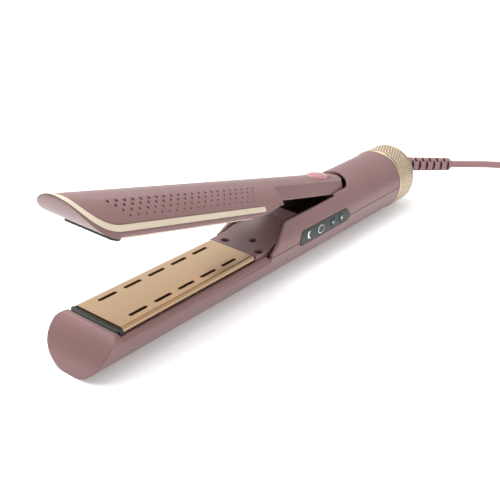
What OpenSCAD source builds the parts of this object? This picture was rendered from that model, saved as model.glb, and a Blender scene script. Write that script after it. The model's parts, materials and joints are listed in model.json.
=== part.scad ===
// Hot-air flat iron: a round body with a fixed lower jaw, a hinged upper arm and a fan at the cord end.
// It is drawn closed, in a tool frame whose origin is the front edge of the lower plate, with X
// towards the cord and Z = 0 on the meeting plane of the plates. in_place() then moves every piece to
// the row frame, where the flat underside lies on Z = 0, and arm_pose() opens the arm.

/* [Body] */
// Radius of the body at the jaw tip
jaw_r = 18.8; // [18.7:0.1:19]
// Radius of the body at the intake ring
tail_r = 20.5; // [20.4:0.1:20.8]
// Where the intake ring starts, from the front of the lower plate
ring_x = 268; // [267:1:270]
// Length of the intake ring
ring_length = 23.5; // [23:0.5:25]
// Wall thickness of the housings
wall = 2; // [1.9:0.1:2.1]

/* [Plates] */
// Length of each heating plate
plate_length = 100.5; // [99:0.5:101]
// Half of the flat width of a plate
plate_half = 13.7; // [13.4:0.1:13.8]
// Number of slots in each row of a plate
slot_count = 5; // [3:1:5]
// Distance between slots
slot_pitch = 17.3; // [16:0.1:17.4]

/* [Arm] */
// Opening angle of the arm
open_angle = 12.3; // [11:0.1:13]
// Where the hinge pin is, from the front of the lower plate
hinge_x = 200; // [199:0.5:201]
// Number of vent holes in the longest row
vent_count = 22; // [14:1:22]

/* [Cord] */
// Diameter of the cord
cord_d = 5; // [4.8:0.1:5.2]
// Angle that the strain relief is turned to the side of the control panel
cord_turn = 42; // [40:1:44]

/* [Hidden] */

// Colours
mauve = [0.58, 0.44, 0.44];
dark_mauve = [0.40, 0.29, 0.29];
champagne = [0.87, 0.81, 0.70];
gold = [0.82, 0.66, 0.50];
black = [0.10, 0.12, 0.12];
steel = [0.70, 0.71, 0.72];
ceramic = [0.90, 0.88, 0.84];
board_green = [0.16, 0.36, 0.24];
panel_grey = [0.36, 0.44, 0.42];
silicone = [0.75, 0.35, 0.28];

// Body
axis_z = -4.6;
tip_x = -18.3;
taper = (tail_r - jaw_r) / (ring_x - tip_x);
body_tilt = atan(taper);
land_depth = 0.4;
centre_x = 135.8;
plate_height = tube_r(0) * cos(body_tilt) - axis_z * cos(body_tilt) - land_depth;
seam_z = -4.2;
seam_gap = 0.25;
seam_lip = 0.8;
rim_z = 1.6;
front_rim = 1.2;
shoulder_y = 15.9;
shoulder_z = -6.4;
shoulder_r = 3.2;
gap = 0.3;
far = 60;
chin_x = 9;
chin_z = -24;
chin_r = 27.3;
shell_front = 111.5;
wall_top = 9.5;
wall_top_front = 132;
slot_half = 12.3;
slot_end_x = 200.5;
wall_top_end = 187;
ramp_x = 106;
ramp_r = 60;
ramp_low = -0.5;
ramp_high = 8.5;
ramp_end = 150;
ramp_half = 9.4;
neck_start = plate_length + 1.2;
neck_screw_depth = 1.9;

// Plates
plate_thick = 2.6;
edge_r = 1.8;
plate_edge = plate_half + edge_r;
slot_row = 9.9;
slot_length = 12;
slot_width = 2;
first_slot = 15.7;
carrier_half = 11.8;
carrier_top = 3.1;
carrier_bottom = 6.5;
cushion_bottom = 8.5;
tray_half = plate_edge + 0.25;
seal_height = 3;
seal_half = 15.9;
seal_drop = 0.9;
rib_places = [22, 70];
rib_length = 10;
rib_low = 4.7;

// Arm
arm_shift = -6;
arm_tip = -27.5;
arm_front_r = 20.2;
arm_rear_r = 20.1;
arm_axis_z = -3.5;
nose_x = -30.8;
nose_round = 6.8;
arm_wall = 1.8;
arm_end = 218;
tongue_start = 127;
tongue_half = 12;
tongue_slant = 0.47;
tongue_end_x = 205.5;
tongue_low = 7;
tongue_high = 20;
brow_x = 0.8;
brow_z = 31.6;
brow_r = 30;
trim_low = 5;
trim_high = 7.6;
trim_bend_x = -1.5;
trim_bend_r = 27;
trim_end = 107;
vent_start = -2.4;
vent_pitch = 5.2;
hinge_z = 6;
pin_r = 2;
knuckle_r = 4.2;
knuckle_half = 6.2;
spring_r = 3;
spring_pitch = 1.15;
spring_half = 2.7;
ear_in = 6.5;
ear_out = 7.6;
ear_r = 3.3;
slide_x = 189;
slide_half_length = 10.2;
slide_r = 5.4;
slide_travel = 3;
bracket_x = [190, 216];
bracket_z = -11;

// Panel
panel_r = 3;
button_x = [177.2, 187.4];
button_z = -2.5;
button_r = 2.4;

// Inside of the body
screw_places = [150, 228];
board_z = -12;
board_posts = [125, 175];
fan_x = 238;

// Tail
ring_r = 21.1;
ring_round = 3.5;
cap_x = ring_x + ring_length;
ball_x = cap_x + 3.5;
ball_z = axis_z + 5.5;
ball_r = 6;
relief_length = 40;
relief_r = 5;
relief_pitch = 5.6;
window_length = ring_length - 8.5;

// Cord, in the row frame
tilt_c = cos(body_tilt);
tilt_s = sin(body_tilt);
ball_place = [ball_x * tilt_c - ball_z * tilt_s - centre_x, 0,
    ball_x * tilt_s + ball_z * tilt_c + plate_height];
cord_way = [cos(cord_turn), -sin(cord_turn), 0];
cord_exit = ball_place + (ball_r + relief_length) * cord_way;
cord_route = [[228, -60, 24.4], [241.5, -67, 21.3], [257, -71.8, 16.8], [274, -74.4, 11.8], [292, -75.3, 7.6],
    [310, -75.2, 4.8], [328, -74.6, 3.3], [347, -73.8, 2.6], [366, -73.1, 2.5], [386, -72.6, 2.5],
    [405, -72.5, 2.5]];
tail_route = [[417, -9.9, 17.6], [410.5, -9, 19.5], [397.2, -11, 21.8], [385.7, -17, 22], [377.8, -27.3, 22],
    [375, -40, 22.3], [376.7, -48.4, 23], [381.4, -55.6, 24.4], [388.6, -60.3, 25.9], [398, -62, 26.85]];
coil_centre = [405, -40, 0];
coil_mean_r = 27.5;
coil_turns_wide = 3;
coil_turns_high = 4;
tie_turn = 15;
plug_place = [398, -62, 26.85];
plug_way = 0;
pin_gap = 18.6;
pin_length = 19;

function tube_r(x) = jaw_r + taper * (x - tip_x);
function tongue_side(z, grow) = tongue_half + grow - tongue_slant * (z - tongue_low);
function arm_r(x) = arm_front_r + (arm_rear_r - arm_front_r) * (x - arm_tip) / (arm_end - arm_tip);

// Helpers -----------------------------------------------------------------------------------------

module in_place() {
    difference() {
        translate([-centre_x, 0, plate_height]) rotate([0, -body_tilt, 0]) children();
        translate([-centre_x - 60, -40, -20]) cube([420, 80, 20]);
    }
}

module placed() {
    translate([-centre_x, 0, plate_height]) rotate([0, -body_tilt, 0]) children();
}

module arm_pose() {
    placed() translate([hinge_x, 0, hinge_z]) rotate([0, open_angle, 0])
        translate([arm_shift - hinge_x, 0, -hinge_z]) children();
}

module block(x, y, z) {
    translate([x[0], y[0], z[0]]) cube([x[1] - x[0], y[1] - y[0], z[1] - z[0]]);
}

module tube(x0, x1, grow) {
    translate([x0, 0, axis_z]) rotate([0, 90, 0])
        cylinder(h = x1 - x0, r1 = tube_r(x0) + grow, r2 = tube_r(x1) + grow, $fn = 128);
}

module dome(x0, x1, grow) {
    translate([x0, 0, arm_axis_z]) rotate([0, 90, 0])
        cylinder(h = x1 - x0, r1 = arm_r(x0) + grow, r2 = arm_r(x1) + grow, $fn = 128);
}

module across(x, z, r, width) {
    translate([x, 0, z]) rotate([90, 0, 0]) cylinder(h = width, r = r, center = true, $fn = 128);
}

module side_shape(width) {
    rotate([90, 0, 0]) linear_extrude(height = width, center = true) children();
}

module section_shape(x0, x1) {
    translate([x0, 0, 0]) rotate([90, 0, 90]) linear_extrude(height = x1 - x0) children();
}

// Shapes that both jaws share, drawn for the lower jaw

module plate_shape() {
    difference() {
        union() {
            block([0, plate_length], [-plate_half, plate_half], [-plate_thick, 0]);
            block([0, plate_length], [-plate_edge, plate_edge], [-plate_thick, -edge_r]);
            for (side = [-1, 1])
                translate([0, side * plate_half, -edge_r]) rotate([0, 90, 0])
                    cylinder(h = plate_length, r = edge_r, $fn = 48);
        }
        for (side = [-1, 1], i = [0:slot_count - 1])
            translate([first_slot + i * slot_pitch, side * slot_row, 0]) slot_shape();
    }
}

module slot_shape() {
    reach = slot_length / 2 - slot_width / 2;
    block([-reach, reach], [-slot_width / 2, slot_width / 2], [-5, 1]);
    for (end = [-reach, reach])
        translate([end, 0, -5]) cylinder(h = 6, d = slot_width, $fn = 24);
}

module carrier_shape() {
    difference() {
        block([2, plate_length - 2], [-carrier_half, carrier_half], [-carrier_bottom, -plate_thick]);
        block([6, plate_length - 6], [-7, 7], [-5.2, 0]);
        for (side = [-1, 1])
            block([6, plate_length - 6], [side * slot_row - 1.6, side * slot_row + 1.6], [-10, 0]);
    }
}

module heater_shape() {
    block([12, plate_length - 12], [-6, 6], [-5.2, -plate_thick]);
}

module cushions_shape() {
    for (x = rib_places)
        block([x + 1, x + rib_length - 1], [-6, 6], [-cushion_bottom, -carrier_bottom]);
}

module seal_shape() {
    difference() {
        block([-3.6, -0.1], [-seal_half, seal_half], [-seal_height, 0]);
        for (side = [-1, 1])
            translate([-3.6, side * seal_half, -3]) rotate([0, 0, 45]) cube([2.4, 2.4, 8], center = true);
    }
}

// Everything above a shoulder that slopes down and outwards from a flat rim
module shoulder_cut(x0, x1, rim) {
    section_shape(x0, x1)
        polygon([[-tray_half, -rim], [-18.2, -2.4], [-19, -4], [-30, -4], [-30, 20], [30, 20], [30, -4],
            [19, -4], [18.2, -2.4], [tray_half, -rim]]);
}

// Everything above the lower jaw's rounded side rims
module round_shoulder_cut(x0, x1) {
    section_shape(x0, x1) difference() {
        translate([-30, shoulder_z]) square([60, 30]);
        translate([-shoulder_y, shoulder_z - 1]) square([2 * shoulder_y, shoulder_r + 1]);
        for (side = [-1, 1])
            translate([side * shoulder_y, shoulder_z]) circle(r = shoulder_r, $fn = 64);
    }
}

// Housings ----------------------------------------------------------------------------------------

module panel_outline(grow) {
    side_shape(30) hull() {
        translate([145, -1.3]) circle(r = panel_r + grow, $fn = 32);
        translate([143.6, -3.9]) circle(r = panel_r + grow, $fn = 32);
        translate([192.4, -1.9]) circle(r = panel_r + 0.6 + grow, $fn = 32);
        translate([194.6, -3.6]) circle(r = panel_r + 0.2 + grow, $fn = 32);
    }
}

module panel_seat() {
    translate([0, -28, 0]) panel_outline(0.1);
}

module lower_body() {
    intersection() {
        tube(tip_x - 4, ring_x, 0);
        union() {
            across(chin_x, chin_z, chin_r, far);
            block([chin_x, ring_x + 5], [-30, 30], [-40, 5]);
        }
    }
}

module lower_hollow() {
    intersection() {
        tube(-30, ring_x + 5, -wall);
        union() {
            intersection() {
                across(chin_x, chin_z, chin_r - wall - 0.6, far);
                block([-40, chin_x], [-tray_half, tray_half], [-40, 5]);
            }
            block([chin_x - 0.5, shell_front + 1], [-tray_half, tray_half], [-40, 5]);
            block([shell_front + 0.5, ring_x + 5], [-30, 30], [-40, 5]);
        }
    }
}

module lower_housing() {
    color(mauve) in_place() difference() {
        union() {
            difference() {
                lower_body();
                lower_hollow();
            }
            intersection() {
                tube(0, ring_x, -wall / 2);
                union() {
                    for (x = rib_places)
                        block([x, x + rib_length], [-8, 8], [-40, -cushion_bottom]);
                    for (x = board_posts)
                        translate([x, 0, -40]) cylinder(h = 40 + board_z, r = 3, $fn = 32);
                    for (x = screw_places)
                        translate([x, 0, -40]) cylinder(h = 24, r = 5, $fn = 48);
                    block([bracket_x[0], bracket_x[1]], [-6, 6], [-40, bracket_z]);
                }
            }
        }
        shoulder_cut(-40, -3.6, front_rim);
        round_shoulder_cut(-3.7, shell_front);
        block([shell_front - 1, ring_x + 5], [-30, 30], [seam_z, 20]);
        block([-3.7, 0.2], [-seal_half - 0.1, seal_half + 0.1], [-seal_height - seal_drop - 0.1, 10]);
        panel_seat();
        for (x = screw_places)
            translate([x, 0, -40]) cylinder(h = 20, r = 3.1, $fn = 48);
    }
}

module rear_shell() {
    color(mauve) in_place() difference() {
        tube(shell_front, ring_x, 0);
        tube(shell_front - 5, ring_x + 5, -wall);
        block([shell_front - 5, ring_x + 5], [-30, 30], [-40, seam_z]);
        difference() {
            block([shell_front - 5, ring_x + 5], [-30, 30], [-40, seam_z + seam_gap]);
            tube(shell_front - 6, ring_x + 6, -seam_lip);
        }
        block([shell_front - 10, wall_top_end], [-30, 30], [wall_top, 40]);
        block([shell_front - 10, slot_end_x], [-slot_half, slot_half], [0, 40]);
        translate([slot_end_x, 0, 0]) cylinder(h = 40, r = slot_half, $fn = 96);
        side_shape(far) polygon([[90, seam_z - 1], [shell_front, seam_z - 1], [shell_front, seam_z],
            [wall_top_front - 2.5, wall_top - 2.5], [wall_top_front + 1, wall_top], [wall_top_front + 1, 30],
            [90, 30]]);
        panel_seat();
    }
}

// Everything above the neck's ramp, lowered by drop
module above_ramp(drop) {
    translate([0, 0, -drop]) {
        block([60, ramp_x], [-30, 30], [ramp_low, 40]);
        across(ramp_x, ramp_low + ramp_r, ramp_r, far);
        block([60, 250], [-30, 30], [ramp_high, 60]);
    }
}

module neck_screw_place(i) {
    translate([[106.4, 107.6, 116][i], [9, -13.2, -3.4][i], [ramp_low, ramp_low, 0.4][i]]) children();
}

module neck_cover() {
    color(dark_mauve) placed() difference() {
        union() {
            intersection() {
                tube(neck_start, wall_top_front, 0);
                side_shape(far) polygon([[90, seam_z], [shell_front - gap, seam_z],
                    [wall_top_front - 2.5 - gap, wall_top - 2.5], [wall_top_front - gap, 30], [90, 30]]);
            }
            intersection() {
                tube(neck_start, ramp_end, -wall - gap);
                union() {
                    block([100, ramp_end], [-ramp_half, ramp_half], [seam_z, 30]);
                    block([100, ramp_end - 12], [-30, 30], [seam_z, 5.6]);
                }
            }
        }
        above_ramp(0);
        difference() {
            block([90, wall_top_front], [-30, 30], [-10, 40]);
            block([89, wall_top_front + 1], [-tray_half, tray_half], [-11, 41]);
        }
        intersection() {
            tube(neck_start + 2, ramp_end + 5, -wall - gap - 1.6);
            difference() {
                block([neck_start + 2, ramp_end + 5], [-ramp_half + 1.6, ramp_half - 1.6], [-20, 30]);
                above_ramp(2.2);
            }
        }
        for (i = [0:2])
            neck_screw_place(i) translate([0, 0, -neck_screw_depth])
                cylinder(h = 8, r = 2.4 - 0.3 * floor(i / 2), $fn = 32);
    }
}

module neck_screws() {
    color(steel) placed() for (i = [0:2])
        neck_screw_place(i) translate([0, 0, -neck_screw_depth]) difference() {
            cylinder(h = 0.8, r = 1.9 - 0.3 * floor(i / 2), $fn = 32);
            for (turn = [45, 135])
                rotate([0, 0, turn]) translate([-1.2, -0.25, 0.4]) cube([2.4, 0.5, 2]);
        }
}

// Lower plate assembly ----------------------------------------------------------------------------

module lower_plate() {
    color(gold) placed() plate_shape();
}

module lower_seal() {
    color(black) placed() translate([0, 0, -seal_drop]) seal_shape();
}

module lower_carrier() {
    color(ceramic) placed() carrier_shape();
}

module lower_heater() {
    color(steel) placed() heater_shape();
}

module lower_cushions() {
    color(silicone) placed() cushions_shape();
}

// Arm ---------------------------------------------------------------------------------------------

module upside_down() {
    mirror([0, 0, 1]) children();
}

module upper_plate() {
    color(gold) arm_pose() upside_down() plate_shape();
}

module upper_seal() {
    color(black) arm_pose() upside_down() seal_shape();
}

module upper_carrier() {
    color(ceramic) arm_pose() upside_down() carrier_shape();
}

module upper_heater() {
    color(steel) arm_pose() upside_down() heater_shape();
}

module upper_cushions() {
    color(silicone) arm_pose() upside_down() cushions_shape();
}

module thermal_fuse() {
    color(steel) arm_pose() translate([88.9, 0, 4.1]) rotate([0, 90, 0]) cylinder(h = 5, r = 1, $fn = 32);
}

// Space above one edge of the trim: edge 0 is its upper edge, and larger values lie outside it
module above_trim(edge) {
    across(trim_bend_x, trim_high + trim_bend_r, trim_bend_r + edge, far);
    block([trim_bend_x, arm_end + 5], [-30, 30], [trim_high - edge, 60]);
    block([-60, trim_bend_x], [-30, 30], [trim_high + trim_bend_r, 60]);
}

// The arm's round back, rolled off at the nose
module nose_dome(grow) {
    start = nose_x + nose_round;
    core_r = arm_r(start) - nose_round;
    dome(start, arm_end, grow);
    translate([start, 0, arm_axis_z]) rotate([0, 90, 0]) {
        rotate_extrude($fn = 128) translate([core_r, 0]) circle(r = nose_round + grow, $fn = 64);
        translate([0, 0, -nose_round - grow]) cylinder(h = nose_round + grow + 1, r = core_r, $fn = 128);
    }
}

// The straight part of the tongue, with flanks that lean inwards
module tongue_block(x0, grow) {
    low = tongue_side(0, grow);
    high = tongue_side(tongue_high, grow);
    section_shape(x0, tongue_end_x) polygon([[-low, 0], [low, 0], [high, tongue_high], [-high, tongue_high]]);
}

// The arm's outer form: nose, wide jaw, and the narrow tongue that goes into the body
module arm_form(grow) {
    intersection() {
        nose_dome(grow);
        union() {
            across(brow_x, brow_z, brow_r + grow, far);
            block([brow_x, tongue_start + grow], [-30, 30], [0, 40]);
            tongue_block(tongue_start - 3, grow);
            translate([tongue_end_x, 0, 0])
                cylinder(h = tongue_high, r1 = tongue_side(0, grow), r2 = tongue_side(tongue_high, grow),
                    $fn = 96);
        }
        difference() {
            block([-60, arm_end], [-30, 30], [0, 40]);
            side_shape(far) polygon([[98, -1], [98, rim_z], [tongue_start - 3, 8.3 - 1.2],
                [tongue_start, tongue_low], [arm_end + 5, tongue_low], [arm_end + 5, -1]]);
        }
    }
}

module vent_holes() {
    for (side = [-1, 1], row = [0:3])
        for (i = [0:vent_count - 1 - row])
            translate([vent_start + (i + row / 2) * vent_pitch, 0, arm_axis_z])
                rotate([side * (23 + 7.8 * row), 0, 0])
                    translate([0, 0, 12]) cylinder(h = 12, r = vent_r(row, i), $fn = 24);
}

function vent_r(row, i) = (0.98 - 0.14 * row) * (1 - 0.012 * i);

module slide_outline(grow, length) {
    reach = length / 2 - slide_r;
    block([-reach, reach], [-slide_r - grow, slide_r + grow], [0, 10]);
    for (end = [-reach, reach])
        translate([end, 0, 0]) cylinder(h = 10, r = slide_r + grow, $fn = 64);
}

module arm_cover() {
    color(mauve) arm_pose() difference() {
        intersection() {
            arm_form(0);
            above_trim(0);
        }
        intersection() {
            arm_form(-arm_wall);
            dome(-60, arm_end + 5, -arm_wall);
        }
        block([-60, tongue_start], [-30, 30], [-5, trim_high - 0.01]);
        block([tongue_start - 3, tongue_end_x], [-9.2, 9.2], [0, 9]);
        vent_holes();
        intersection() {
            translate([slide_x + slide_travel / 2, 0, 10])
                slide_outline(0.25, 2 * slide_half_length + slide_travel + 0.5);
            difference() {
                dome(150, 210, 5);
                dome(150, 210, -0.9);
            }
        }
        block([slide_x - 4, slide_x + 4 + slide_travel], [-2.3, 2.3], [5, 40]);
    }
}

module arm_trim() {
    color(champagne) arm_pose() difference() {
        intersection() {
            arm_form(0.12);
            above_trim(trim_high - trim_low - 0.05);
            union() {
                block([-60, trim_end], [-30, 30], [0, 40]);
                across(trim_end, (trim_low + trim_high) / 2, (trim_high - trim_low) / 2 - 0.05, far);
            }
        }
        above_trim(0.05);
        dome(-60, arm_end, -1);
    }
}

// Room for the frame's inner structure: under the cover, and let into the frame's own wall below it
module inside_cover() {
    dome(-60, 210, -arm_wall - 0.1);
    intersection() {
        dome(-60, 130, -1.3);
        block([-60, 130], [-30, 30], [-1, trim_high - 0.3]);
    }
}

module arm_rib(x) {
    difference() {
        block([x, x + rib_length], [-16, 16], [rib_low, 40]);
        block([x - 1, x + rib_length + 1], [-12.2, 12.2], [0, 7.5]);
        block([x - 1, x + rib_length + 1], [-10, 10], [0, cushion_bottom]);
    }
}

module arm_frame() {
    color(mauve) arm_pose() difference() {
        union() {
            difference() {
                intersection() {
                    arm_form(0);
                    difference() {
                        block([-60, tongue_start], [-30, 30], [0, 40]);
                        intersection() {
                            above_trim(0);
                            dome(-60, 200, 1);
                        }
                    }
                }
                intersection() {
                    dome(-60, 130, 1);
                    above_trim(trim_high - trim_low);
                    union() {
                        block([-60, trim_end], [-30, 30], [0, 40]);
                        across(trim_end, (trim_low + trim_high) / 2, (trim_high - trim_low) / 2, far);
                    }
                    difference() {
                        dome(-60, 130, 2);
                        dome(-60, 130, -1);
                    }
                }
                intersection() {
                    dome(-60, 130, -arm_wall);
                    union() {
                        intersection() {
                            across(brow_x, brow_z, brow_r - 2.4, far);
                            block([-60, 10], [-tray_half, tray_half], [-1, 40]);
                        }
                        block([-0.1, 10], [-tray_half, tray_half], [-1, 7]);
                        block([9, plate_length + 0.4], [-tray_half, tray_half], [-1, 40]);
                        block([plate_length + 2, 140], [-30, 30], [-1, 40]);
                    }
                }
                block([-3.7, 0.2], [-seal_half - 0.1, seal_half + 0.1], [-1, seal_height + 0.1]);
                upside_down() shoulder_cut(-3.7, shell_front + 20, rim_z);
            }
            intersection() {
                inside_cover();
                difference() {
                    union() {
                        for (x = rib_places)
                            arm_rib(x);
                        block([plate_length + 0.4, plate_length + 2.5], [-16, 16], [rim_z, 40]);
                        intersection() {
                            block([plate_length + 0.5, 192], [-ramp_half, ramp_half], [9.4, 40]);
                            tongue_block(plate_length, -arm_wall - 0.1);
                        }
                        block([190, hinge_x - arm_shift], [-knuckle_half, knuckle_half], [9.4, 40]);
                        across(hinge_x - arm_shift, hinge_z, knuckle_r, 2 * knuckle_half);
                        block([192, hinge_x - arm_shift], [-knuckle_half, knuckle_half], [hinge_z, 12]);
                    }
                    block([slide_x - 5, slide_x + 5 + slide_travel], [-3, 3], [11.5, 40]);
                }
            }
        }
        across(hinge_x - arm_shift, hinge_z, pin_r + 0.06, 40);
        across(hinge_x - arm_shift, hinge_z, knuckle_r + 0.8, 2 * spring_half);
    }
}

module lock_slide() {
    color([0.84, 0.62, 0.62]) arm_pose() intersection() {
        dome(150, 210, 2.5);
        union() {
            difference() {
                translate([slide_x, 0, 10]) slide_outline(0, 2 * slide_half_length);
                dome(150, 210, -0.85);
            }
            difference() {
                block([slide_x - 3.7, slide_x + 3.7], [-2.1, 2.1], [10, 16]);
                dome(150, 210, -arm_wall);
            }
        }
    }
}

// Hinge -------------------------------------------------------------------------------------------

module hinge_bracket() {
    color(steel) placed() difference() {
        union() {
            block([bracket_x[0], bracket_x[1]], [-ear_out, ear_out], [bracket_z, bracket_z + 2]);
            for (side = [-1, 1]) {
                low = min(side * ear_in, side * ear_out);
                block([hinge_x - ear_r, hinge_x + ear_r], [low, low + ear_out - ear_in], [bracket_z, hinge_z]);
                translate([hinge_x, low, hinge_z]) rotate([-90, 0, 0])
                    cylinder(h = ear_out - ear_in, r = ear_r, $fn = 64);
            }
        }
        across(hinge_x, hinge_z, pin_r, 40);
    }
}

module hinge_pin() {
    color(steel) placed() across(hinge_x, hinge_z, pin_r, 2 * ear_out);
}

module hinge_spring() {
    color(steel) placed() {
        for (i = [-1.5:1:1.5])
            translate([hinge_x, i * spring_pitch, hinge_z]) rotate([-90, 0, 0])
                rotate_extrude($fn = 48) translate([spring_r, 0]) circle(r = 0.5, $fn = 24);
        translate([hinge_x - spring_r, 0, bracket_z + 2]) cylinder(h = 13, r = 0.5, $fn = 24);
    }
}

// Control panel -----------------------------------------------------------------------------------

module panel_layer(outer, inner, shrink) {
    intersection() {
        difference() {
            tube(130, 210, outer);
            tube(129, 211, inner);
        }
        translate([0, -28, 0]) panel_outline(-shrink);
    }
}

module button_hole(i, grow) {
    translate([button_x[i], -30, button_z]) rotate([-90, 0, 0]) cylinder(h = 30, r = button_r + grow, $fn = 48);
}

module control_panel() {
    color(panel_grey) placed() difference() {
        panel_layer(0.12, -wall + 0.4, 0);
        for (i = [0, 1])
            button_hole(i, 0.25);
    }
}

module display_board() {
    color(board_green) placed() block([143, 172], [-15.6, -14.4], [-6, 1]);
}

module button_shape(i) {
    color(panel_grey) placed() {
        intersection() {
            difference() {
                tube(130, 210, 0.35);
                tube(129, 211, -wall - 1);
            }
            button_hole(i, 0);
        }
        translate([button_x[i], -tube_r(button_x[i]) + wall + 0.6, button_z]) rotate([-90, 0, 0])
            cylinder(h = 0.5, r = button_r + 0.8, $fn = 48);
    }
}

module minus_button() {
    button_shape(0);
}

module plus_button() {
    button_shape(1);
}

// Electronics -------------------------------------------------------------------------------------

module main_board() {
    color(board_green) placed() {
        block([115, 186], [-13, 13], [board_z, board_z + 1.6]);
        translate([157, 5, board_z + 1.6]) cylinder(h = 8, r = 4, $fn = 48);
        block([122, 134], [-8, 2], [board_z + 1.6, board_z + 5]);
        block([164, 176], [-3, 9], [board_z + 1.6, board_z + 7]);
    }
}

// Fan ---------------------------------------------------------------------------------------------

module fan_duct() {
    color([0.25, 0.25, 0.26]) placed() translate([0, 0, axis_z]) rotate([0, 90, 0]) {
        translate([0, 0, fan_x]) difference() {
            cylinder(h = 22, r = 18, $fn = 96);
            translate([0, 0, -1]) cylinder(h = 24, r = 16.6, $fn = 96);
        }
        translate([0, 0, fan_x + 18]) difference() {
            union() {
                cylinder(h = 3, r = 9, $fn = 64);
                for (turn = [30, 150, 270])
                    rotate([0, 0, turn]) translate([8, -1, 0.5]) cube([9.3, 2, 2]);
            }
            translate([0, 0, -1]) cylinder(h = 5, r = 7.5, $fn = 64);
        }
    }
}

module fan_motor() {
    color(steel) placed() translate([fan_x + 12, 0, axis_z]) rotate([0, 90, 0]) {
        cylinder(h = 12, r = 7.4, $fn = 64);
        translate([0, 0, -9]) cylinder(h = 9, r = 1, $fn = 32);
    }
}

module fan_impeller() {
    color([0.16, 0.16, 0.17]) placed() translate([fan_x + 2, 0, axis_z]) rotate([0, 90, 0]) difference() {
        union() {
            cylinder(h = 9, r = 7.5, $fn = 64);
            intersection() {
                cylinder(h = 9, r = 15.8, $fn = 96);
                for (turn = [0:60:300])
                    rotate([0, 0, turn]) translate([6.5, 0, 4.5]) rotate([38, 0, 0])
                        cube([20, 1.2, 14], center = true);
            }
        }
        translate([0, 0, -1]) cylinder(h = 11, r = 1.05, $fn = 32);
    }
}

// Tail --------------------------------------------------------------------------------------------

module tail_ring(x, length, outer, inner) {
    translate([x, 0, axis_z]) rotate([0, 90, 0]) difference() {
        cylinder(h = length, r = outer, $fn = 128);
        translate([0, 0, -1]) cylinder(h = length + 2, r = inner, $fn = 128);
    }
}

module tail_windows(x, length, width, count) {
    for (i = [0:count - 1])
        translate([x, 0, axis_z]) rotate([(i + 0.5) * 180 / count, 0, 0]) translate([0, -width / 2, -30])
            cube([length, width, 60]);
}

module intake_ring() {
    color(champagne) in_place() difference() {
        translate([ring_x + 0.15, 0, axis_z]) rotate([0, 90, 0]) rotate_extrude($fn = 256) difference() {
            union() {
                square([ring_r, ring_length - ring_round]);
                square([ring_r - ring_round, ring_length]);
                translate([ring_r - ring_round, ring_length - ring_round]) circle(r = ring_round, $fn = 64);
            }
            translate([-1, -1]) square([20, ring_length - 2.7]);
            translate([-1, -1]) square([18.5, ring_length + 2]);
        }
        tail_windows(ring_x + 4, window_length, 1.6, 16);
    }
}

module dust_filter() {
    color([0.6, 0.6, 0.58]) placed() difference() {
        tail_ring(ring_x + 1.5, ring_length - 5.5, 18.6, 18.2);
        tail_windows(ring_x + 3, window_length, 3, 8);
    }
}

module rear_cap() {
    color(dark_mauve) placed() difference() {
        union() {
            difference() {
                tail_ring(ring_x - 6, ring_length + 2.3, 18, 16.8);
                tail_windows(ring_x + 3, window_length, 5, 4);
            }
            tail_ring(cap_x - 5.5, 5.5, 17.4, 15.6);
            translate([cap_x - 2.5, 0, axis_z]) rotate([0, 90, 0]) cylinder(h = 2.5, r = 17.4, $fn = 96);
            translate([cap_x - 5, 0, ball_z]) rotate([0, 90, 0]) cylinder(h = 5, r = 9, $fn = 64);
            translate([cap_x, 0, ball_z]) rotate([0, 90, 0]) cylinder(h = 4.6, r1 = 9, r2 = 7, $fn = 64);
        }
        translate([ball_x, 0, ball_z]) sphere(r = ball_r + 0.08, $fn = 96);
    }
}

module housing_screws() {
    color(steel) placed() for (x = screw_places)
        translate([x, 0, -22]) difference() {
            cylinder(h = 2, r = 2.8, $fn = 48);
            for (turn = [0, 90])
                rotate([0, 0, turn]) translate([-1.8, -0.35, -1]) cube([3.6, 0.7, 2]);
        }
}

// Cord --------------------------------------------------------------------------------------------

module along_cord() {
    translate(ball_place) rotate([0, 0, -cord_turn]) rotate([0, 90, 0]) children();
}

module swivel_ball() {
    color([0.3, 0.22, 0.22]) along_cord() intersection() {
        union() {
            sphere(r = ball_r, $fn = 96);
            cylinder(h = ball_r, r = 3.6, $fn = 48);
        }
        translate([0, 0, -ball_r - 1]) cylinder(h = 2 * ball_r + 1, r = 10, $fn = 48);
    }
}

module strain_relief() {
    color(mauve) along_cord() translate([0, 0, ball_r]) difference() {
        union() {
            cylinder(h = 3.5, r = relief_r + 0.4, $fn = 64);
            cylinder(h = relief_length - 1.5, r1 = relief_r, r2 = relief_r - 0.4, $fn = 64);
            translate([0, 0, relief_length - 1.5]) cylinder(h = 1.5, r1 = relief_r - 0.4, r2 = 3.3, $fn = 64);
        }
        for (i = [0:5], side = [0, 90, 180, 270]) {
            shift = side % 180 == 0 ? 0 : relief_pitch / 2;
            rotate([0, 0, side]) translate([2.8, -10, 4.6 + relief_pitch * i + shift]) cube([10, 20, 1.9]);
        }
    }
}

function catmull(a, b, c, d, t) = 0.5 * (2 * b + (c - a) * t + (2 * a - 5 * b + 4 * c - d) * t * t
    + (3 * b - a - 3 * c + d) * t * t * t);
function at(p, i) = i < 0 ? 2 * p[0] - p[1] : i >= len(p) ? 2 * p[len(p) - 1] - p[len(p) - 2] : p[i];
function smooth(p, n) = [for (i = [0:len(p) - 2], j = [0:n - 1])
    catmull(at(p, i - 1), p[i], p[i + 1], at(p, i + 2), j / n), p[len(p) - 1]];
function unit(v) = v / norm(v);
function way(p, i) = unit(p[min(i + 1, len(p) - 1)] - p[max(i - 1, 0)]);
function cord_ring(p, i, r, sides) = let (t = way(p, i), s = unit(cross([0, 0, 1], t)), u = cross(t, s))
    [for (k = [0:sides - 1]) p[i] + r * (cos(360 * k / sides) * s + sin(360 * k / sides) * u)];

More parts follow.
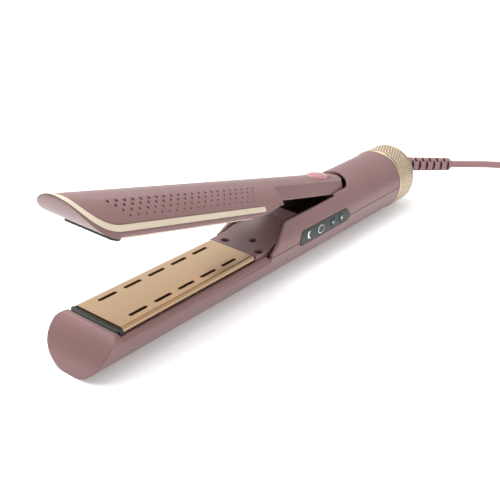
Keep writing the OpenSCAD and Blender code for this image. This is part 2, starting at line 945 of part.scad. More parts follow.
module cord_tube(route, steps, sides) {
    p = smooth(route, steps);
    rings = [for (i = [0:len(p) - 1]) each cord_ring(p, i, cord_d / 2, sides)];
    walls = [for (i = [0:len(p) - 2], k = [0:sides - 1])
        let (a = i * sides + k, b = i * sides + (k + 1) % sides) [a, b, b + sides, a + sides]];
    caps = [[for (k = [sides - 1:-1:0]) k], [for (k = [0:sides - 1]) (len(p) - 1) * sides + k]];
    polyhedron(rings, concat(walls, caps));
}

module power_cord() {
    color(mauve) {
        cord_tube(concat([cord_exit, cord_exit + 15 * cord_way, cord_exit + 30 * cord_way], cord_route), 1, 10);
        cord_tube(tail_route, 1, 10);
    }
}

module cord_coil() {
    width = coil_turns_wide * cord_d;
    height = coil_turns_high * cord_d;
    color(mauve) translate(coil_centre) rotate_extrude($fn = 96) translate([coil_mean_r - width / 2, 0])
        square([width, height]);
}

module cord_tie() {
    half = coil_turns_wide * cord_d / 2;
    height = coil_turns_high * cord_d;
    color(black) translate(coil_centre) rotate([0, 0, tie_turn]) difference() {
        block([coil_mean_r - half - 1.4, coil_mean_r + half + 1.4], [-4, 4], [0, height + 1.4]);
        block([coil_mean_r - half - 0.1, coil_mean_r + half + 0.1], [-5, 5], [-1, height + 0.1]);
    }
}

module at_plug() {
    translate(plug_place) rotate([0, 0, plug_way]) children();
}

module plug_body() {
    color(mauve) at_plug() {
        translate([12, 0, 0]) hull() {
            translate([0, 0, 0]) rotate([0, 90, 0]) cylinder(h = 1, r = 4.5, $fn = 32);
            translate([20, -12.6, 0]) sphere(r = 4, $fn = 24);
            translate([20, 12.6, 0]) sphere(r = 4, $fn = 24);
            translate([28, -9, -6.85]) cube([0.1, 18, 13.7]);
            translate([28, -17.6, -2.5]) cube([0.1, 35.2, 5]);
        }
        rotate([0, 90, 0]) cylinder(h = 12, r1 = 3, r2 = 4.2, $fn = 32);
    }
}

module plug_pins() {
    color(steel) at_plug() for (side = [-1, 1])
        translate([40.1, side * pin_gap / 2, 0]) rotate([0, 90, 0]) {
            cylinder(h = pin_length - 1, r = 2, $fn = 48);
            translate([0, 0, pin_length - 1]) cylinder(h = 1, r1 = 2, r2 = 1.2, $fn = 48);
        }
}

lower_housing();
rear_shell();
neck_cover();
neck_screws();
lower_plate();
lower_seal();
lower_carrier();
lower_heater();
lower_cushions();
arm_cover();
arm_frame();
arm_trim();
upper_plate();
upper_seal();
upper_carrier();
upper_heater();
upper_cushions();
thermal_fuse();
hinge_bracket();
hinge_pin();
hinge_spring();
lock_slide();
control_panel();
display_board();
minus_button();
plus_button();
main_board();
fan_duct();
fan_motor();
fan_impeller();
dust_filter();
intake_ring();
rear_cap();
housing_screws();
swivel_ball();
strain_relief();
power_cord();
cord_coil();
cord_tie();
plug_body();
plug_pins();
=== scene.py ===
"""Looks of the hot-air flat iron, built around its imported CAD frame. Metres, in the row's own frame."""
import json
import math

import bpy
from mathutils import Matrix, Vector


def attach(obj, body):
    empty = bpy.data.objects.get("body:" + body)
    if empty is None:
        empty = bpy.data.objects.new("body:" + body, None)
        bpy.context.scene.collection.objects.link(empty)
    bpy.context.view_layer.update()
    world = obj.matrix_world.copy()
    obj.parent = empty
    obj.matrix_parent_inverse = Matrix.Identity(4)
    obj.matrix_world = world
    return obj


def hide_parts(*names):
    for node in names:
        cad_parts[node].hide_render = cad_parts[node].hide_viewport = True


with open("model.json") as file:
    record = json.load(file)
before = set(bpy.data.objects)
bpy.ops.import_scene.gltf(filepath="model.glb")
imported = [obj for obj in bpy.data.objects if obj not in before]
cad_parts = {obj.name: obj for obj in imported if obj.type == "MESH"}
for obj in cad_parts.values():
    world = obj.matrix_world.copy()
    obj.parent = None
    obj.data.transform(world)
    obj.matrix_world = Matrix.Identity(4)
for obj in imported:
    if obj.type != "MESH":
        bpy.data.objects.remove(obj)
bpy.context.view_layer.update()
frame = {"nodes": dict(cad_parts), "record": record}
nodes = frame["nodes"]
MM = 0.001

# --- Camera ----------------------------------------------------------------------------------------

CAMERA_PLACE = Vector((-0.3597, -0.2293, 0.2118))
CAMERA_AZIMUTH = math.radians(-56.23)
CAMERA_ELEVATION = math.radians(25.41)
CAMERA_ROLL = math.radians(5.0)
LENS_MM = 57.6


def make_camera():
    """The camera at the photo's angle, with its small roll."""
    back = Vector((math.sin(CAMERA_AZIMUTH) * math.cos(CAMERA_ELEVATION),
                   -math.cos(CAMERA_AZIMUTH) * math.cos(CAMERA_ELEVATION),
                   math.sin(CAMERA_ELEVATION)))
    level = Vector((0, 0, 1)).cross(back).normalized()
    upright = back.cross(level)
    side = math.cos(CAMERA_ROLL) * level + math.sin(CAMERA_ROLL) * upright
    up = back.cross(side)
    data = bpy.data.cameras.new("camera")
    data.lens = LENS_MM
    data.sensor_width = 36
    data.clip_start = 0.01
    data.clip_end = 20
    camera = bpy.data.objects.new("camera", data)
    bpy.context.scene.collection.objects.link(camera)
    camera.matrix_world = Matrix.Translation(CAMERA_PLACE) @ Matrix((side, up, back)).transposed().to_4x4()
    bpy.context.scene.camera = camera


make_camera()

# --- The iron's own measures, in millimetres, in the tool frame of its source -----------------------

AXIS_Z = -4.6
TIP_X = -18.3
JAW_R = 18.8
TAIL_R = 20.5
RING_X = 268.15
RING_LENGTH = 23.5
RING_R = 21.1
TAPER = (TAIL_R - JAW_R) / (268 - TIP_X)
CENTRE_X = 135.8
PLATE_HEIGHT = 23.108
HINGE = Vector((200, 0, 6))
OPEN_ANGLE = math.radians(12.3)
ARM_SHIFT = -6
ARM_AXIS_Z = -3.5
ARM_TIP = -27.5
ARM_END = 218
ARM_FRONT_R = 20.2
ARM_REAR_R = 20.1
PLACED = Matrix.Translation((-CENTRE_X, 0, PLATE_HEIGHT)) @ Matrix.Rotation(-math.atan(TAPER), 4, "Y")
ON_ARM = (PLACED @ Matrix.Translation(HINGE) @ Matrix.Rotation(OPEN_ANGLE, 4, "Y")
          @ Matrix.Translation(Vector((ARM_SHIFT, 0, 0)) - HINGE))


def tube_r(x):
    """Outer radius of the body at x."""
    return JAW_R + TAPER * (x - TIP_X)


def arm_r(x):
    """Outer radius of the arm's round back at x, in the arm's own frame."""
    return ARM_FRONT_R + (ARM_REAR_R - ARM_FRONT_R) * (x - ARM_TIP) / (ARM_END - ARM_TIP)


def make_mesh(name, points, faces, place, body, smooth=True):
    """A mesh from points in millimetres of the tool frame, moved to the row frame and tied to its body."""
    mesh = bpy.data.meshes.new(name)
    mesh.from_pydata([(place @ Vector(p)) * MM for p in points], [], faces)
    for vertex in mesh.vertices:
        vertex.co.z = max(vertex.co.z, 0)
    mesh.validate()
    if smooth:
        mesh.shade_smooth()
    made = bpy.data.objects.new(name, mesh)
    bpy.context.scene.collection.objects.link(made)
    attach(made, body)
    return made


# --- Cord ------------------------------------------------------------------------------------------

CORD_D = 5 * MM
CORD_TURN = math.radians(-42)
CORD_WAY = Vector((math.cos(CORD_TURN), math.sin(CORD_TURN), 0))
CAP_X = 291.5
BALL = (PLACED @ Vector((CAP_X + 3.5, 0, AXIS_Z + 5.5))) * MM
EXIT_REACH = 46 * MM  # from the ball's middle to the end of the strain relief
ROUTE_MM = [(228, -60, 24.4), (241.5, -67, 21.3), (257, -71.8, 16.8), (274, -74.4, 11.8), (292, -75.3, 7.6),
            (310, -75.2, 4.8), (328, -74.6, 3.3), (347, -73.8, 2.6), (366, -73.1, 2.5), (386, -72.6, 2.5)]
TAIL_MM = [(417, -9.9, 17.6), (410.5, -9, 19.5), (397.2, -11, 21.8), (385.7, -17, 22), (377.8, -27.3, 22),
           (375, -40, 22.3), (376.7, -48.4, 23), (381.4, -55.6, 24.4), (388.6, -60.3, 25.9), (398, -62, 26.85)]
COIL_CENTRE = Vector((405, -40, 0)) * MM
COIL_OUTER_R = 32.5 * MM
# The cells of the coil's section that the turns take in order: (steps inwards, layer).
COIL_CELLS = [(0, 0), (1, 0), (2, 0), (2, 1), (1, 1), (0, 1), (0, 2), (1, 2), (2, 2), (2, 3), (1, 3), (0, 3)]
POINTS_A_TURN = 24
CHANGE_START = 0.40  # where on each lap, counted from the entry, the cord starts to move to its next cell
CHANGE_SHARE = 0.16  # and the share of the lap over which it moves
COIL_WANDER = 0.2 * MM  # how far a turn strays from a true circle


def cord_line():
    """The cord's points: out of the strain relief, down to the floor, round the coil and on to the plug."""
    start = BALL + EXIT_REACH * CORD_WAY
    points = [start + step * MM * CORD_WAY for step in (-4, 0, 15, 30)]
    points += [Vector(p) * MM for p in ROUTE_MM]
    turns = len(COIL_CELLS) - 1 + CHANGE_START
    for i in range(round(turns * POINTS_A_TURN) + 1):
        turn = i / POINTS_A_TURN
        lap = turn - CHANGE_START
        cell = math.floor(lap) + 1
        share = min(1.0, (lap % 1) / CHANGE_SHARE)
        share = share * share * (3 - 2 * share)
        before = COIL_CELLS[max(0, cell - 1)]
        now = COIL_CELLS[min(cell, len(COIL_CELLS) - 1)]
        inwards = before[0] + (now[0] - before[0]) * share
        layer = before[1] + (now[1] - before[1]) * share
        angle = 2 * math.pi * turn - math.pi / 2
        radius = COIL_OUTER_R - CORD_D * inwards + COIL_WANDER * math.sin(1.7 * turn) * math.sin(angle)
        points.append(COIL_CENTRE + Vector((radius * math.cos(angle), radius * math.sin(angle),
                                            CORD_D * (layer + 0.5))))
    points += [Vector(p) * MM for p in TAIL_MM]
    return points


def curve_mesh(curve):
    """The curve as it is now, as a mesh."""
    return bpy.data.meshes.new_from_object(curve.evaluated_get(bpy.context.evaluated_depsgraph_get()))


def make_cord(points):
    """The lead as a mesh tube along one smooth curve, and the points down its middle."""
    data = bpy.data.curves.new("cord_lead", "CURVE")
    data.dimensions = "3D"
    spline = data.splines.new("NURBS")
    spline.points.add(len(points) - 1)
    for point, place in zip(spline.points, points):
        point.co = (*place, 1)
    spline.order_u = 3
    spline.use_endpoint_u = True
    spline.resolution_u = 3
    curve = bpy.data.objects.new("cord_curve", data)
    bpy.context.scene.collection.objects.link(curve)
    middle = [tuple(vertex.co) for vertex in curve_mesh(curve).vertices]
    data.bevel_depth = CORD_D / 2
    data.bevel_resolution = 4
    data.use_fill_caps = True
    mesh = curve_mesh(curve)
    bpy.data.objects.remove(curve)
    mesh.shade_smooth()
    cord = bpy.data.objects.new("cord_lead", mesh)
    bpy.context.scene.collection.objects.link(cord)
    return cord, middle


cord_points = cord_line()
cord, cord_middle = make_cord(cord_points)
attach(cord, "root")
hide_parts("power_cord", "cord_coil")

# --- Intake ring, with its fine holes ----------------------------------------------------------------

HOLE_ROWS = 6
HOLES_A_ROW = 64
HOLE_SIDES = 12
HOLE_R = 0.55
HOLES_START = 3.2
HOLES_END = 18.4
RING_IN_R = 19.1
SKIN_R = RING_R - 0.12  # the perforated face lies a little below the polished front rim
REAR_ROUND = 3.5


def ring_point(x, r, angle):
    """A point at a distance behind the ring's front, at a radius and an angle from the top."""
    return (RING_X + x, r * math.sin(angle), AXIS_Z + r * math.cos(angle))


def make_ring():
    """A revolved wall: a polished front rim, a field of holes, and a rounded rear edge."""
    points, faces = [], []
    step = (HOLES_END - HOLES_START) / HOLE_ROWS
    front = [(0.0, RING_IN_R), (0.0, RING_R - 0.4), (0.25, RING_R - 0.1), (0.6, RING_R), (1.6, RING_R),
             (1.95, SKIN_R), (2.1, RING_R - 0.35), (2.35, RING_R - 0.35), (2.5, SKIN_R)]
    rear = [(RING_LENGTH - REAR_ROUND * (1 - math.sin(t)), SKIN_R - REAR_ROUND * (1 - math.cos(t)))
            for t in [math.pi / 2 * k / 8 for k in range(9)]]
    rear += [(RING_LENGTH, 17.55), (RING_LENGTH - 0.4, 17.5), (RING_LENGTH - 3, 17.5),
             (RING_LENGTH - 3.9, RING_IN_R)]
    columns = 2 * HOLES_A_ROW
    angle = [2 * math.pi * k / columns for k in range(columns)]

    def add_ring(x, r):
        """A circle of points, and the index of its first."""
        points.extend(ring_point(x, r, a) for a in angle)
        return len(points) - columns

    def bridge(a, b):
        """Faces between two circles of points."""
        faces.extend((a + k, a + (k + 1) % columns, b + (k + 1) % columns, b + k) for k in range(columns))

    first = add_ring(*front[0])
    last = first
    for x, r in front[1:]:
        last, before = add_ring(x, r), last
        bridge(before, last)
    rows = [add_ring(HOLES_START + step * k / 2, SKIN_R) for k in range(2 * HOLE_ROWS + 1)]
    inner = [add_ring(HOLES_START + step * k / 2, RING_IN_R) for k in range(2 * HOLE_ROWS + 1)]
    bridge(last, rows[0])
    for row in range(HOLE_ROWS):
        for hole in range(HOLES_A_ROW):
            k = 2 * hole + (row % 2)
            middle_x = HOLES_START + step * (row + 0.5)
            middle_a = 2 * math.pi * (k + 1) / columns
            rim, rim_in = len(points), len(points) + HOLE_SIDES
            for r in (SKIN_R, RING_IN_R):
                for side in range(HOLE_SIDES):
                    t = 2 * math.pi * side / HOLE_SIDES
                    points.append(ring_point(middle_x + HOLE_R * math.cos(t), r,
                                             middle_a + HOLE_R * math.sin(t) / r))
            # The cell's eight border points go round from +x, and each faces one part of the hole's rim.
            for level, hole_start, wanted in ((rows, rim, 1), (inner, rim_in, -1)):
                at = [(2, 1), (2, 2), (1, 2), (0, 2), (0, 1), (0, 0), (1, 0), (2, 0)]
                border = [level[2 * row + i] + (k + j) % columns for i, j in at]
                for n in range(8):
                    start = round(n * HOLE_SIDES / 8)
                    stop = round((n + 1) * HOLE_SIDES / 8)
                    arc = [hole_start + s % HOLE_SIDES for s in range(start, stop + 1)]
                    face = [border[n], border[(n + 1) % 8], *reversed(arc)]
                    faces.append(tuple(face if wanted > 0 else reversed(face)))
            for side in range(HOLE_SIDES):
                following = (side + 1) % HOLE_SIDES
                faces.append((rim + side, rim + following, rim_in + following, rim_in + side))
    last = rows[-1]
    for x, r in rear:
        last, before = add_ring(x, r), last
        bridge(before, last)
    bridge(last, inner[-1])
    bridge(inner[0], first)
    ring = make_mesh("ring_skin", points, faces, PLACED, "root")
    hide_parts("intake_ring")
    return ring


ring = make_ring()

# --- Lock slide, a glossy dome on the arm's back ------------------------------------------------------

SLIDE_X = 189
SLIDE_REACH = 10.1
SLIDE_HALF = 5.3
SLIDE_RISE = 2.4
SLIDE_SINK = 0.3  # how far the dome's foot lies below the arm's back
SLIDE_DEPTH = 0.8
SLIDE_TOP = 2.2


def make_slide():
    """An oval dome that follows the arm's round back and rolls off at its rim, closed below."""
    points, faces = [], []
    around, inwards = 64, 14
    for ring_step in range(inwards + 1):
        share = math.sin(math.pi / 2 * ring_step / inwards)
        for k in range(around):
            t = 2 * math.pi * k / around
            across = SLIDE_HALF * math.copysign(abs(math.sin(t)) ** 0.9, math.sin(t))
            along = SLIDE_REACH * math.copysign(abs(math.cos(t)) ** 0.75, math.cos(t))
            x, y = along * share, across * share
            height = SLIDE_RISE * (1 - share ** 2.6) ** 0.5 - SLIDE_SINK
            r = arm_r(SLIDE_X + x) + height
            points.append((SLIDE_X + x, r * math.sin(y / r), ARM_AXIS_Z + r * math.cos(y / r)))
    for ring_step in range(1, inwards):
        a, b = ring_step * around, (ring_step + 1) * around
        faces += [(a + k, b + k, b + (k + 1) % around, a + (k + 1) % around) for k in range(around)]
    first = around
    points[0:around] = [(SLIDE_X, 0, ARM_AXIS_Z + arm_r(SLIDE_X) + SLIDE_TOP)] * around
    faces += [(0, first + k, first + (k + 1) % around) for k in range(around)]
    base = inwards * around
    under = len(points)
    for k in range(around):
        x, y, z = points[base + k]
        scale = (arm_r(x) - SLIDE_DEPTH) / math.hypot(y, z - ARM_AXIS_Z)
        points.append((x, y * scale, ARM_AXIS_Z + (z - ARM_AXIS_Z) * scale))
    faces += [(base + k, under + k, under + (k + 1) % around, base + (k + 1) % around) for k in range(around)]
    faces.append(tuple(under + k for k in reversed(range(around))))
    used = [0] + list(range(around, len(points)))
    index = {old: new for new, old in enumerate(used)}
    slide = make_mesh("slide_dome", [points[i] for i in used], [tuple(index[i] for i in f) for f in faces],
                      ON_ARM, "lock")
    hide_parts("lock_slide")
    return slide


slide = make_slide()

# --- Rounded lip round the opening that the arm folds into ---------------------------------------------

LIP_R = 1.18
LIP_INSET = 0.95
SLOT_HALF = 12.3
SLOT_END_X = 200.5
WALL_TOP = 9.5
LIP_SINK = 1  # the bead's middle lies this far below the body's skin


def lip_path():
    """The lip's whole line: up one side's front edge, along its top, round the rear end and back."""
    path = []
    for k in range(9):
        share = k / 8
        path.append((112.6 + 17.2 * share, -3.4 + 10.6 * share))
    path += [(131.6, 8.2), (133.6, WALL_TOP - LIP_INSET)]
    path += [(133.6 + 53 * k / 12, WALL_TOP - LIP_INSET) for k in range(1, 13)]
    side = []
    for x, z in path:
        r = tube_r(x) - LIP_SINK
        side.append((x, math.sqrt(r * r - (z - AXIS_Z) ** 2), z))
    for k in range(4):
        x = 189.5 + 3.4 * k
        y = SLOT_HALF + LIP_INSET - 0.5 + 0.125 * k
        side.append((x, y, AXIS_Z + math.sqrt((tube_r(x) - LIP_SINK) ** 2 - y * y)))
    reach = SLOT_HALF + LIP_INSET
    for k in range(1, 13):
        t = math.pi / 2 * (1 - k / 12)
        x, y = SLOT_END_X + reach * math.cos(t), reach * math.sin(t)
        side.append((x, y, AXIS_Z + math.sqrt((tube_r(x) - LIP_SINK) ** 2 - y * y)))
    return side + [(x, -y, z) for x, y, z in reversed(side[:-1])]


def make_tube(name, path, radius, place, body, sides=12):
    """A round bead along a path, closed at both ends."""
    points, faces = [], []
    for i, here in enumerate(path):
        way = (Vector(path[min(i + 1, len(path) - 1)]) - Vector(path[max(i - 1, 0)])).normalized()
        out = Vector((0, here[1], here[2] - AXIS_Z))
        out = (out - way * out.dot(way)).normalized()
        other = way.cross(out)
        for k in range(sides):
            t = 2 * math.pi * k / sides
            points.append(Vector(here) + radius * (math.cos(t) * out + math.sin(t) * other))
    for i in range(len(path) - 1):
        a, b = i * sides, (i + 1) * sides
        faces += [(a + k, a + (k + 1) % sides, b + (k + 1) % sides, b + k) for k in range(sides)]
    faces.append(tuple(reversed(range(sides))))
    faces.append(tuple((len(path) - 1) * sides + k for k in range(sides)))
    return make_mesh(name, points, faces, place, body)


lip = make_tube("slot_lip", lip_path(), LIP_R, PLACED, "root", 16)

# --- Marks on the control panel ----------------------------------------------------------------------

BUTTON_X = (177.2, 187.4)
BUTTON_Z = -2.5
MARK_DEPTH = 0.3


def on_panel(x, z, lift):
    """A point on the panel's side of the body, lifted off its skin."""
    r = tube_r(x) + lift
    return (x, -math.sqrt(r * r - (z - AXIS_Z) ** 2), z)


def flat_mark(name, outline, inner, lift, body):
    """A thin mark between two outlines of the same count, or one filled outline (inner None): the printed
    symbols, the dark button rings, and a dark band of painted shade round the panel's edge.
    """
    count = len(outline)
    points = [on_panel(x, z, lift) for x, z in outline]
    if inner is None:
        points += [on_panel(x, z, lift - MARK_DEPTH) for x, z in outline]
        faces = [tuple(range(count)), tuple(reversed(range(count, 2 * count)))]
        faces += [(k, count + k, count + (k + 1) % count, (k + 1) % count) for k in range(count)]
    else:
        points += [on_panel(x, z, lift) for x, z in inner]
        points += [on_panel(x, z, lift - MARK_DEPTH) for x, z in outline]
        points += [on_panel(x, z, lift - MARK_DEPTH) for x, z in inner]
        faces = []
        for a, b in ((0, 1), (1, 3), (3, 2), (2, 0)):
            faces += [(a * count + k, a * count + (k + 1) % count, b * count + (k + 1) % count, b * count + k)
                      for k in range(count)]
    return make_mesh(name, points, faces, PLACED, body, smooth=False)


def oval(x, z, half_x, half_z, count=48):
    """An ellipse's outline."""
    return [(x + half_x * math.cos(2 * math.pi * k / count), z + half_z * math.sin(2 * math.pi * k / count))
            for k in range(count)]


def crescent(x, z, r):
    """A new moon: the outer arc goes round most of the circle, and the inner arc comes back."""
    outer = [(x + r * math.cos(t), z + r * math.sin(t))
             for t in [math.radians(50 + 260 * k / 20) for k in range(21)]]
    inner = [(x + 0.42 * r + 0.79 * r * math.cos(t), z + 0.79 * r * math.sin(t))
             for t in [math.radians(285 - 210 * k / 16) for k in range(17)]]
    return outer + inner


def bar(x, z, half_x, half_z):
    """A rectangle's outline."""
    return [(x - half_x, z - half_z), (x + half_x, z - half_z),
            (x + half_x, z + half_z), (x - half_x, z + half_z)]


def plus(x, z, reach, half):
    """A plus sign's outline."""
    return [(x + a, z + b) for a, b in (
        (-reach, -half), (-half, -half), (-half, -reach), (half, -reach), (half, -half), (reach, -half),
        (reach, half), (half, half), (half, reach), (-half, reach), (-half, half), (-reach, half))]


def panel_outline(grow, count=72):
    """The panel's outline in its side view: the hull of four corner circles, moved outwards by grow."""
    circles = [(145, -1.3, 3), (143.6, -3.9, 3), (192.4, -1.9, 3.6), (194.6, -3.6, 3.2)]
    outline = []
    for k in range(count):
        a, b = math.cos(2 * math.pi * k / count), math.sin(2 * math.pi * k / count)
        x, z, r = max(circles, key=lambda c: c[0] * a + c[1] * b + c[2])
        outline.append((x + (r + grow) * a, z + (r + grow) * b))
    return outline


pale_marks = [
    flat_mark("mark_night", crescent(150.7, -2.4, 2.1), None, 0.17, "root"),
    flat_mark("mark_display", oval(163.7, -2.7, 3.4, 2.5), oval(163.9, -2.7, 3.1, 2.2), 0.16, "root"),
    flat_mark("mark_minus", bar(BUTTON_X[0], BUTTON_Z, 1.1, 0.22), None, 0.4, "minus_key"),
    flat_mark("mark_plus", plus(BUTTON_X[1], BUTTON_Z, 1.1, 0.22), None, 0.4, "plus_key"),
]
dark_marks = [
    # painted shade: a dark band where the gap round the panel would lie in shadow
    flat_mark("panel_gap_shade", panel_outline(-0.05), panel_outline(-0.6), 0.17, "root"),
    *[flat_mark(name, oval(x, BUTTON_Z, 3.2, 3.2), oval(x, BUTTON_Z, 2.65, 2.65), 0.18, "root")
      for name, x in zip(("button_ring_minus", "button_ring_plus"), BUTTON_X)],
]

# --- Materials -------------------------------------------------------------------------------------


def new_material(name):
    """A fresh material, its node tree and its shader."""
    material = bpy.data.materials.new(name)
    material.use_nodes = True
    tree = material.node_tree
    shader = tree.nodes["Principled BSDF"]
    return material, tree, shader


def soften(tree, bump, radius_mm):
    """Round the shading of sharp edges by a small radius."""
    if radius_mm:
        bevel = tree.nodes.new("ShaderNodeBevel")
        bevel.samples = 6
        bevel.inputs["Radius"].default_value = radius_mm * MM
        tree.links.new(bevel.outputs["Normal"], bump.inputs["Normal"])


def paint_shade_in_hollows(material, reach_mm):
    """Paint shade into a material's colour inside narrow grooves, darker where their walls lie close."""
    tree = material.node_tree
    shader = tree.nodes["Principled BSDF"]
    source = shader.inputs["Base Color"].links[0].from_socket
    hollow_shade = tree.nodes.new("ShaderNodeAmbientOcclusion")
    hollow_shade.samples = 8
    hollow_shade.inputs["Distance"].default_value = reach_mm * MM
    sharper = tree.nodes.new("ShaderNodeMapRange")
    sharper.inputs["From Min"].default_value = 0.45
    sharper.inputs["From Max"].default_value = 0.85
    sharper.inputs["To Min"].default_value = 0.18
    mix = tree.nodes.new("ShaderNodeVectorMath")
    mix.operation = "SCALE"
    tree.links.new(hollow_shade.outputs["AO"], sharper.inputs["Value"])
    tree.links.new(source, mix.inputs[0])
    tree.links.new(sharper.outputs["Result"], mix.inputs["Scale"])
    tree.links.new(mix.outputs["Vector"], shader.inputs["Base Color"])


def plastic(name, colour, roughness=0.45, grain=0.04, grain_scale=2600, tint=0.03, edge=0.5, metallic=0.0,
            shine=0.5):
    """Moulded or lacquered plastic: fine orange peel, slow changes of colour and gloss, softened edges."""
    material, tree, shader = new_material(name)
    coords = tree.nodes.new("ShaderNodeTexCoord")
    slow = tree.nodes.new("ShaderNodeTexNoise")
    slow.inputs["Scale"].default_value = 28
    slow.inputs["Detail"].default_value = 3
    fine = tree.nodes.new("ShaderNodeTexNoise")
    fine.inputs["Scale"].default_value = grain_scale
    fine.inputs["Detail"].default_value = 2
    tree.links.new(coords.outputs["Object"], slow.inputs["Vector"])
    tree.links.new(coords.outputs["Object"], fine.inputs["Vector"])
    ramp = tree.nodes.new("ShaderNodeValToRGB")
    ramp.color_ramp.elements[0].position = 0.3
    ramp.color_ramp.elements[1].position = 0.7
    ramp.color_ramp.elements[0].color = (*[c * (1 - tint) for c in colour], 1)
    ramp.color_ramp.elements[1].color = (*[min(1, c * (1 + tint)) for c in colour], 1)
    tree.links.new(slow.outputs["Fac"], ramp.inputs["Fac"])
    tree.links.new(ramp.outputs["Color"], shader.inputs["Base Color"])
    gloss = tree.nodes.new("ShaderNodeMapRange")
    gloss.inputs["To Min"].default_value = roughness - 0.04
    gloss.inputs["To Max"].default_value = roughness + 0.04
    tree.links.new(fine.outputs["Fac"], gloss.inputs["Value"])
    tree.links.new(gloss.outputs["Result"], shader.inputs["Roughness"])
    bump = tree.nodes.new("ShaderNodeBump")
    bump.inputs["Strength"].default_value = grain
    bump.inputs["Distance"].default_value = 0.0002
    tree.links.new(fine.outputs["Fac"], bump.inputs["Height"])
    tree.links.new(bump.outputs["Normal"], shader.inputs["Normal"])
    soften(tree, bump, edge)
    shader.inputs["Metallic"].default_value = metallic
    shader.inputs["Specular IOR Level"].default_value = shine
    return material


def metal(name, colour, roughness=0.3, brush=(30, 900, 900), depth=0.05):
    """Metal with fine lines brushed along the stretched axis."""
    material, tree, shader = new_material(name)
    shader.inputs["Metallic"].default_value = 1
    coords = tree.nodes.new("ShaderNodeTexCoord")
    stretch = tree.nodes.new("ShaderNodeMapping")
    stretch.inputs["Scale"].default_value = brush
    lines = tree.nodes.new("ShaderNodeTexNoise")
    lines.inputs["Scale"].default_value = 1
    lines.inputs["Detail"].default_value = 4
    tree.links.new(coords.outputs["Object"], stretch.inputs["Vector"])
    tree.links.new(stretch.outputs["Vector"], lines.inputs["Vector"])
    ramp = tree.nodes.new("ShaderNodeValToRGB")
    ramp.color_ramp.elements[0].color = (*[c * 0.94 for c in colour], 1)
    ramp.color_ramp.elements[1].color = (*[min(1, c * 1.05) for c in colour], 1)
    tree.links.new(lines.outputs["Fac"], ramp.inputs["Fac"])
    tree.links.new(ramp.outputs["Color"], shader.inputs["Base Color"])
    gloss = tree.nodes.new("ShaderNodeMapRange")
    gloss.inputs["To Min"].default_value = roughness - 0.06
    gloss.inputs["To Max"].default_value = roughness + 0.06
    tree.links.new(lines.outputs["Fac"], gloss.inputs["Value"])
    tree.links.new(gloss.outputs["Result"], shader.inputs["Roughness"])
    bump = tree.nodes.new("ShaderNodeBump")
    bump.inputs["Strength"].default_value = depth
    bump.inputs["Distance"].default_value = 0.0001
    tree.links.new(lines.outputs["Fac"], bump.inputs["Height"])
    tree.links.new(bump.outputs["Normal"], shader.inputs["Normal"])
    return material


MAUVE = (0.208, 0.113, 0.110)
materials = {
    "shell": plastic("shell", MAUVE, 0.38, edge=1.2, metallic=0.2),
    # The inner cover's mauve is a darker copy of the shell's: painted shade for the neck lying under the arm.
    "inner_cover": plastic("inner_cover", (0.185, 0.102, 0.102), 0.4, edge=0.4),
    "champagne": metal("champagne", (0.93, 0.80, 0.62), 0.32, (60, 60, 60), 0.02),
    "ring": metal("ring", (0.52, 0.41, 0.29), 0.34, (60, 60, 60), 0.02),
    "plate": metal("plate", (0.48, 0.33, 0.20), 0.3, (12, 260, 260), 0.01),
    "relief": plastic("relief", (0.26, 0.135, 0.14), 0.5, 0.08),
    "screw": metal("screw", (0.12, 0.10, 0.10), 0.35),
    # painted highlight: a paler copy of the plate's gold, so the upper plate reads as the bright line along
    # its edge
    "plate_edge": metal("plate_edge", (0.95, 0.80, 0.68), 0.4, (12, 260, 260), 0.01),
    "seal": plastic("seal", (0.008, 0.014, 0.013), 0.5),
    "carrier": plastic("carrier", (0.70, 0.66, 0.56), 0.6),
    "mark": plastic("mark", (0.85, 0.87, 0.86), 0.5, edge=0),
    "steel": metal("steel", (0.60, 0.61, 0.62), 0.3),
    "silicone": plastic("silicone", (0.45, 0.09, 0.06), 0.55),
    "lens": plastic("lens", (0.018, 0.028, 0.026), 0.2, 0.005, edge=0.2, shine=0.2),
    "lock": plastic("lock", (0.42, 0.20, 0.20), 0.14, 0.01),
    "board": plastic("board", (0.02, 0.10, 0.05), 0.4),
    "dark_plastic": plastic("dark_plastic", (0.02, 0.02, 0.022), 0.45),
    "filter": metal("filter", (0.5, 0.5, 0.48), 0.4),
    "cord": plastic("cord", (0.26, 0.135, 0.14), 0.5, 0.08),
    "tie": plastic("tie", (0.012, 0.012, 0.012), 0.5, 0.1),
    "plug_plastic": plastic("plug_plastic", (0.26, 0.14, 0.145), 0.5, 0.06),
}
for row in frame["record"]["subparts"]:
    node = nodes[row["node"]]
    node.data.materials.clear()
    node.data.materials.append(materials[row["material_slot"]])
# The upper plate takes the paler gold: painted highlight along its edge.
nodes["upper_plate"].data.materials[0] = materials["plate_edge"]
nodes["neck_screws"].data.materials[0] = materials["screw"]
nodes["strain_relief"].data.materials[0] = materials["relief"]
# painted shade: the strain relief's colour is darkened inside its slots
paint_shade_in_hollows(materials["relief"], 2.5)
for piece, name in [(cord, "cord"), (ring, "ring"), (slide, "lock"), (lip, "shell"),
                    *[(mark, "mark") for mark in pale_marks], *[(mark, "seal") for mark in dark_marks]]:
    piece.data.materials.append(materials[name])

# --- Floor and light -------------------------------------------------------------------------------


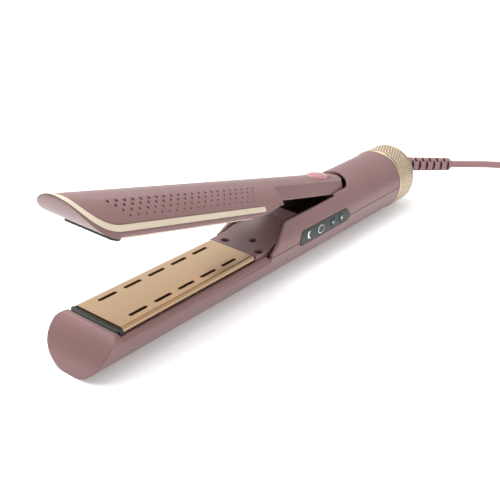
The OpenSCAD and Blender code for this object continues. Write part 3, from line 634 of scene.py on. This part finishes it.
def make_floor():
    """A plain pale surface with a faint glow of its own, which keeps the shadows soft."""
    bpy.ops.mesh.primitive_plane_add(size=12)
    floor = bpy.context.object
    floor.name = "floor"
    paint = plastic("floor", (0.9, 0.9, 0.905), 0.7, 0.0, 400, 0.004, 0)
    shader = paint.node_tree.nodes["Principled BSDF"]
    shader.inputs["Emission Color"].default_value = (1, 1, 1, 1)
    shader.inputs["Emission Strength"].default_value = 0.16
    floor.data.materials.append(paint)


def area_light(name, place, target, size, energy):
    """A rectangular lamp at a place, aimed at a target."""
    data = bpy.data.lights.new(name, "AREA")
    data.shape = "RECTANGLE"
    data.size, data.size_y = size
    data.energy = energy
    light = bpy.data.objects.new(name, data)
    bpy.context.scene.collection.objects.link(light)
    light.location = place
    light.rotation_euler = (Vector(place) - Vector(target)).to_track_quat("Z", "Y").to_euler()


BRIGHT_WAY = (0.35, 0.1, 0.93)  # the studio's walls grow brighter this way


def make_light():
    """Bright walls all round, and three lamps: above, at the panel's side, and behind."""
    world = bpy.data.worlds.new("studio")
    world.use_nodes = True
    tree = world.node_tree
    coords = tree.nodes.new("ShaderNodeTexCoord")
    towards = tree.nodes.new("ShaderNodeVectorMath")
    towards.operation = "DOT_PRODUCT"
    towards.inputs[1].default_value = BRIGHT_WAY
    fade = tree.nodes.new("ShaderNodeMapRange")
    fade.inputs["From Min"].default_value = -0.4
    fade.inputs["To Min"].default_value = 0.36
    fade.inputs["To Max"].default_value = 0.98
    tree.links.new(coords.outputs["Generated"], towards.inputs[0])
    tree.links.new(towards.outputs["Value"], fade.inputs["Value"])
    tree.links.new(fade.outputs["Result"], tree.nodes["Background"].inputs["Strength"])
    tree.nodes["Background"].inputs["Color"].default_value = (1, 1, 1, 1)
    bpy.context.scene.world = world
    area_light("key", (-0.25, 0.35, 1.1), (0, 0, 0.03), (1.3, 0.9), 18)
    area_light("side", (-0.15, -1.2, 0.5), (0.02, 0, 0.03), (1.1, 0.3), 3)
    area_light("back", (0.85, 1.1, 0.62), (-0.1, 0, 0.03), (0.9, 0.5), 0.9)


make_floor()
make_light()
bpy.context.scene.view_settings.view_transform = "Standard"
